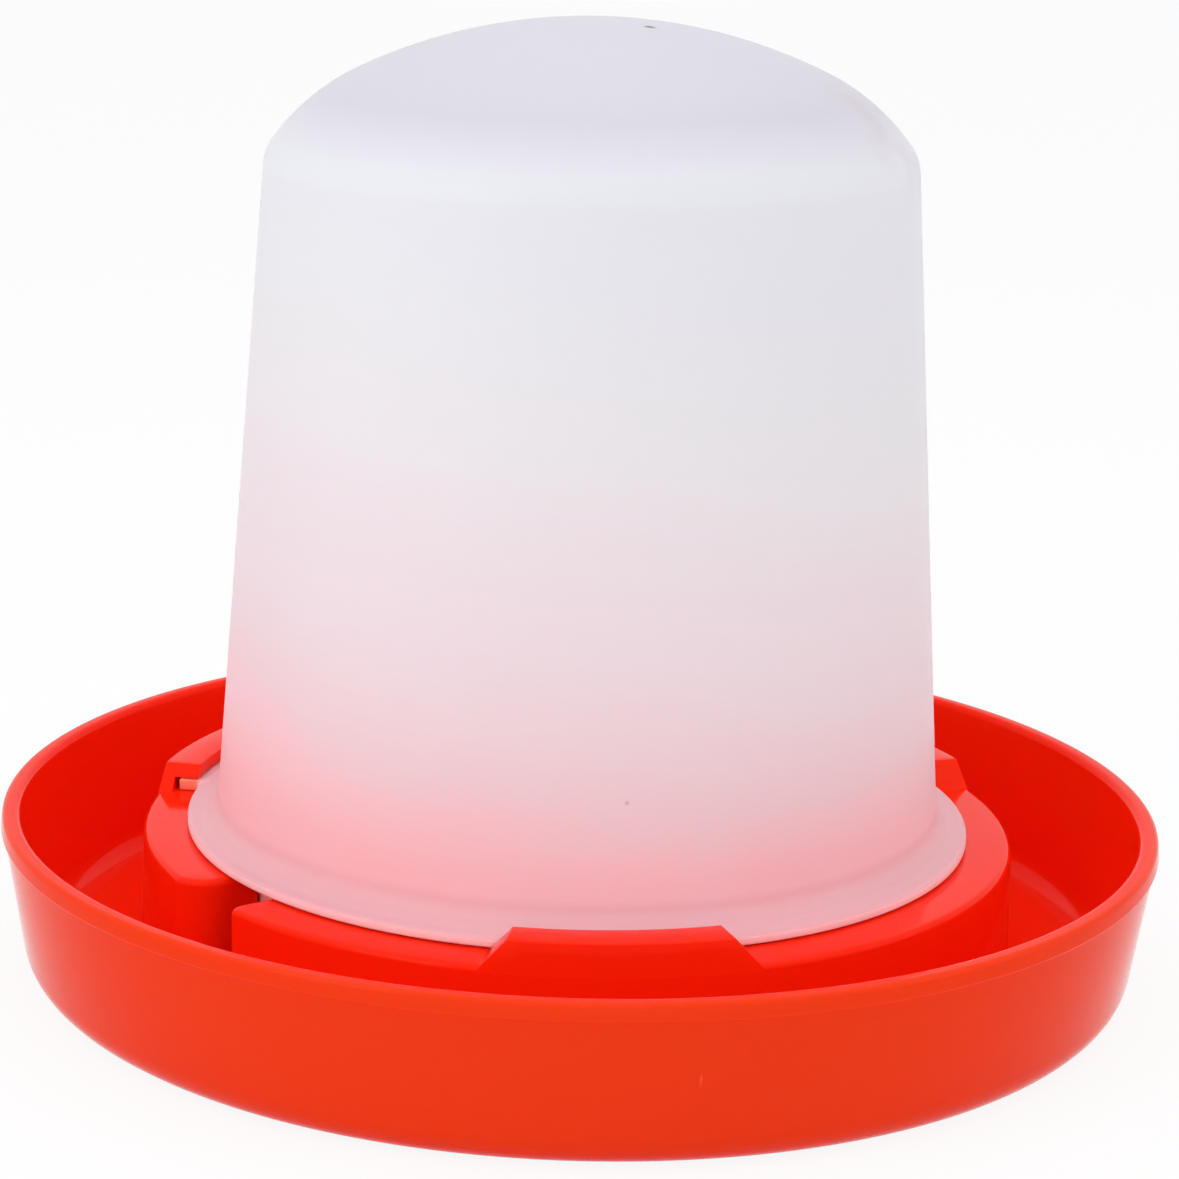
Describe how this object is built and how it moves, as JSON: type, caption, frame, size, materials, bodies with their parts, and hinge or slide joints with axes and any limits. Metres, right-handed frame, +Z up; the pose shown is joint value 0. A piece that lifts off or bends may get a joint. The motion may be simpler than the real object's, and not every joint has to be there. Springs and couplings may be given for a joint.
{
  "type": "poultry waterer",
  "caption": "Gravity-fed poultry drinker: a domed translucent reservoir twists into hooked clips on the raised ring of a round red trough dish.",
  "frame": {"origin": "centre of the dish's flat underside, on the surface that the drinker stands on", "axes": "+Z up along the axis of the dish and the reservoir; the water outlet faces -Y"},
  "size_m": [0.2808, 0.2808, 0.2293],
  "materials": {
    "red_plastic": "glossy moulded red",
    "milky_plastic": "smooth milky white, lets light through"
  },
  "bodies": {
    "base": {"drinker_base": "red_plastic"},
    "reservoir": {"reservoir": "milky_plastic"}
  },
  "joints": [
    {"name": "reservoir_twist", "type": "hinge", "parent": "base", "child": "reservoir", "pos_m": [0, 0, 0.0342], "axis": [0, 0, 1], "range_deg": [0, 87]}
  ]
}
